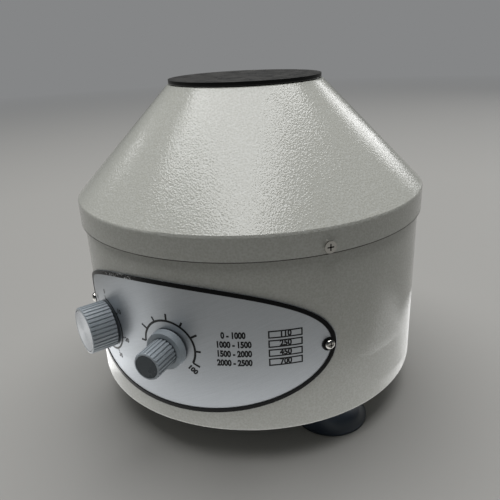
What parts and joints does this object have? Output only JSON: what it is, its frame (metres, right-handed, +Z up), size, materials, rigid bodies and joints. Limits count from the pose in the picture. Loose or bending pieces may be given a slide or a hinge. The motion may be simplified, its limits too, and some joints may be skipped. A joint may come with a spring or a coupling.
{
  "type": "butterfat centrifuge",
  "caption": "Bench centrifuge with a conical hood, lift-off lid and slanted tube rotor, which spins milk samples to part the fat, with timer and speed knobs.",
  "frame": {"origin": "where the rotor's axis meets the bench, at the centre of the circle through the three feet", "axes": "+Z up along the rotor's axis; the control panel and the speed knob face -Y; +X to the right of someone facing the panel"},
  "size_m": [0.26, 0.2872, 0.2425],
  "materials": {
    "body_enamel": "textured powder coat",
    "base_enamel": "satin",
    "lid_plastic": "gloss",
    "panel_plate": "brushed",
    "border_trim": "satin",
    "knob_plastic": "satin",
    "screw_plate": "polished",
    "steel": "ground",
    "foot_rubber": "satin",
    "black_rubber": "matt",
    "cast_aluminium": "cast",
    "bowl_sheet": "spun",
    "shield_aluminium": "anodised",
    "motor_enamel": "satin",
    "lamination": "stacked",
    "copper": "enamelled",
    "brass": "plain",
    "carbon": "matt",
    "board": "satin",
    "component": "satin",
    "module_plastic": "satin",
    "rocker_plastic": "gloss",
    "fuse_glass": "clear"
  },
  "bodies": {
    "housing": {"drum_shell": "body_enamel", "hood": "body_enamel", "base_plate": "base_enamel", "base_screws": "screw_plate", "hood_screws": "screw_plate", "bowl_screws": "screw_plate", "panel_screws": "screw_plate", "foot_screws": "screw_plate", "chamber_bowl": "bowl_sheet", "hood_gasket": "black_rubber", "isolators": "black_rubber", "isolator_bolts": "steel", "motor_bracket": "base_enamel", "motor_housing": "motor_enamel", "motor_lower_bell": "cast_aluminium", "motor_upper_bell": "cast_aluminium", "bearing_outer_races": "steel", "field_core": "lamination", "field_coils": "copper", "brush_holders": "brass", "brushes": "carbon", "shaft_boot": "black_rubber", "control_panel": "panel_plate", "panel_border": "border_trim", "timer_case": "component", "bush_nuts": "steel", "speed_control": "component", "board_posts": "brass", "speed_board": "board", "board_components": "component", "power_module": "module_plastic", "module_gasket": "black_rubber", "module_pins": "brass", "suction_foot_1": "foot_rubber", "suction_foot_2": "foot_rubber", "suction_foot_3": "foot_rubber"},
    "lid": {"lid": "lid_plastic", "lid_seal": "black_rubber"},
    "rotor": {"motor_shaft": "steel", "armature_core": "lamination", "armature_winding": "copper", "commutator": "copper", "bearing_inner_races": "steel", "bearing_balls": "steel", "rotor_head": "cast_aluminium", "rotor_nut": "steel", "tube_cushions": "black_rubber", "tube_shield_1": "shield_aluminium", "tube_shield_2": "shield_aluminium", "tube_shield_3": "shield_aluminium", "tube_shield_4": "shield_aluminium", "tube_shield_5": "shield_aluminium", "tube_shield_6": "shield_aluminium"},
    "timer_knob": {"timer_shaft": "brass", "timer_knob": "knob_plastic"},
    "speed_knob": {"speed_shaft": "brass", "speed_knob": "knob_plastic"},
    "switch": {"power_rocker": "rocker_plastic"},
    "fuse_holder": {"fuse_drawer": "module_plastic", "fuse": "fuse_glass"}
  },
  "joints": [
    {"name": "lid_lift", "type": "slide", "parent": "housing", "child": "lid", "axis": [0, 0, 1], "range_m": [0, 0.12]},
    {"name": "rotor_spin", "type": "hinge", "parent": "housing", "child": "rotor", "pos_m": [0, 0, 0.12], "axis": [0, 0, 1], "continuous": true},
    {"name": "timer_turn", "type": "hinge", "parent": "housing", "child": "timer_knob", "pos_m": [-0.06074, -0.11233, 0.0839], "axis": [0.4756, 0.8796, 0], "range_deg": [0, 300]},
    {"name": "speed_turn", "type": "hinge", "parent": "housing", "child": "speed_knob", "pos_m": [0, -0.1277, 0.0866], "axis": [0, 1, 0], "range_deg": [0, 210]},
    {"name": "switch_rock", "type": "hinge", "parent": "housing", "child": "switch", "pos_m": [0, 0.1303, 0.1011], "axis": [1, 0, 0], "range_deg": [0, 14]},
    {"name": "fuse_slide", "type": "slide", "parent": "housing", "child": "fuse_holder", "axis": [0, 1, 0], "range_m": [0, 0.022]}
  ]
}
